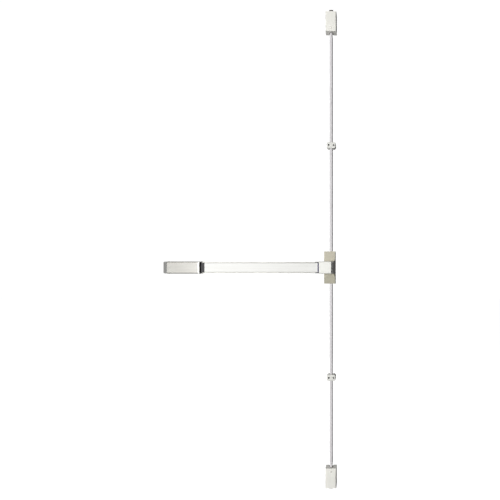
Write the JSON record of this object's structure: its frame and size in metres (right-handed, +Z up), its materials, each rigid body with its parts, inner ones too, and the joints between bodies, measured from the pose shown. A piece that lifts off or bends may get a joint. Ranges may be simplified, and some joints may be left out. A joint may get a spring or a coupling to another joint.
{
  "type": "surface vertical rod exit device",
  "caption": "Door exit device with a push bar, a centre case and surface vertical rods that draw a top and a bottom bolt when the bar is pressed.",
  "frame": {"origin": "middle of the centre case's back, on the door's face", "axes": "+X along the bar from its far end to the case, +Y into the door, +Z up along the rods"},
  "size_m": [0.771, 0.06, 2.131],
  "materials": {
    "pad_metal": "satin off-white enamel",
    "channel_metal": "satin light grey enamel on an extrusion",
    "cover_paint": "satin warm light grey enamel",
    "nose_metal": "satin off-white enamel",
    "guide_metal": "satin enamel on a casting",
    "black_plastic": "moulded, slightly rough",
    "buffer_rubber": "matt",
    "rod_steel": "drawn, satin",
    "bolt_metal": "dark machined steel",
    "plated_steel": "zinc plated sheet",
    "bright_steel": "bright machined",
    "spring_steel": "drawn wire"
  },
  "bodies": {
    "door_side": {"base_rail": "plated_steel", "bottom_bolt_spring": "spring_steel", "bottom_latch_base": "plated_steel", "bottom_latch_cover": "cover_paint", "bottom_latch_screw": "bright_steel", "channel": "channel_metal", "channel_screws": "bright_steel", "crank_pivot_pins": "bright_steel", "end_bracket": "plated_steel", "end_housing": "cover_paint", "end_housing_screws": "bright_steel", "head_chassis": "plated_steel", "head_cover": "cover_paint", "head_cover_screws": "bright_steel", "left_crank_bracket": "plated_steel", "lever_clips": "bright_steel", "lever_posts": "bright_steel", "lower_rod_guide": "guide_metal", "nose_cover": "nose_metal", "pad_buffers": "buffer_rubber", "rail_rivets": "bright_steel", "return_spring": "spring_steel", "right_crank_bracket": "plated_steel", "spring_guide_pin": "bright_steel", "spring_stop": "plated_steel", "top_bolt_spring": "spring_steel", "top_latch_base": "plated_steel", "top_latch_cover": "cover_paint", "top_latch_screw": "bright_steel", "upper_rod_guide": "guide_metal"},
    "pad": {"push_pad": "pad_metal", "pad_left_plug": "black_plastic", "pad_right_plug": "black_plastic", "left_pad_bracket": "plated_steel", "right_pad_bracket": "plated_steel"},
    "crank_left": {"left_crank": "plated_steel", "left_crank_pad_pin": "bright_steel"},
    "crank_right": {"right_crank": "plated_steel", "right_crank_pad_pin": "bright_steel"},
    "link": {"link_bar": "plated_steel"},
    "lever_upper": {"upper_lever": "plated_steel", "upper_lever_pins": "bright_steel"},
    "lever_lower": {"lower_lever": "plated_steel", "lower_lever_pins": "bright_steel"},
    "rod_upper": {"upper_rod_slide": "plated_steel", "upper_rod": "rod_steel", "upper_rod_lock_nut": "bright_steel", "top_bolt": "bolt_metal", "top_bolt_stud": "bright_steel", "top_bolt_collar": "rod_steel"},
    "rod_lower": {"lower_rod_slide": "plated_steel", "lower_rod": "rod_steel", "lower_rod_lock_nut": "bright_steel", "bottom_bolt": "bolt_metal", "bottom_bolt_stud": "bright_steel", "bottom_bolt_collar": "rod_steel"}
  },
  "joints": [
    {"name": "pad_press", "type": "slide", "parent": "door_side", "child": "pad", "axis": [0, 1, 0], "range_m": [0, 0.014], "stiffness_N_per_m": 1500, "springref_m": -0.012},
    {"name": "left_crank_turn", "type": "hinge", "parent": "door_side", "child": "crank_left", "pos_m": [-0.47, -0.0278, 0], "axis": [0, 0, 1], "range_deg": [0, 45.79]},
    {"name": "right_crank_turn", "type": "hinge", "parent": "door_side", "child": "crank_right", "pos_m": [-0.12, -0.0278, 0], "axis": [0, 0, 1], "range_deg": [0, 45.79]},
    {"name": "link_stroke", "type": "slide", "parent": "door_side", "child": "link", "axis": [-1, 0, 0], "range_m": [0, 0.014], "deforming": ["return_spring"]},
    {"name": "upper_lever_turn", "type": "hinge", "parent": "door_side", "child": "lever_upper", "pos_m": [-0.013, -0.0145, 0.024], "axis": [0, 1, 0], "range_deg": [0, 45.79]},
    {"name": "lower_lever_turn", "type": "hinge", "parent": "door_side", "child": "lever_lower", "pos_m": [-0.013, -0.0145, -0.024], "axis": [0, -1, 0], "range_deg": [0, 45.79]},
    {"name": "upper_rod_stroke", "type": "slide", "parent": "door_side", "child": "rod_upper", "axis": [0, 0, -1], "range_m": [0, 0.014], "deforming": ["top_bolt_spring"]},
    {"name": "lower_rod_stroke", "type": "slide", "parent": "door_side", "child": "rod_lower", "axis": [0, 0, 1], "range_m": [0, 0.014], "deforming": ["bottom_bolt_spring"]}
  ],
  "couplings": [
    {"joint": "left_crank_turn", "follows": "pad_press", "rad_per_m": 57.061},
    {"joint": "right_crank_turn", "follows": "pad_press", "rad_per_m": 57.061},
    {"joint": "link_stroke", "follows": "pad_press", "ratio": 1},
    {"joint": "upper_lever_turn", "follows": "pad_press", "rad_per_m": 57.061},
    {"joint": "lower_lever_turn", "follows": "pad_press", "rad_per_m": 57.061},
    {"joint": "upper_rod_stroke", "follows": "pad_press", "ratio": 1},
    {"joint": "lower_rod_stroke", "follows": "pad_press", "ratio": 1}
  ]
}
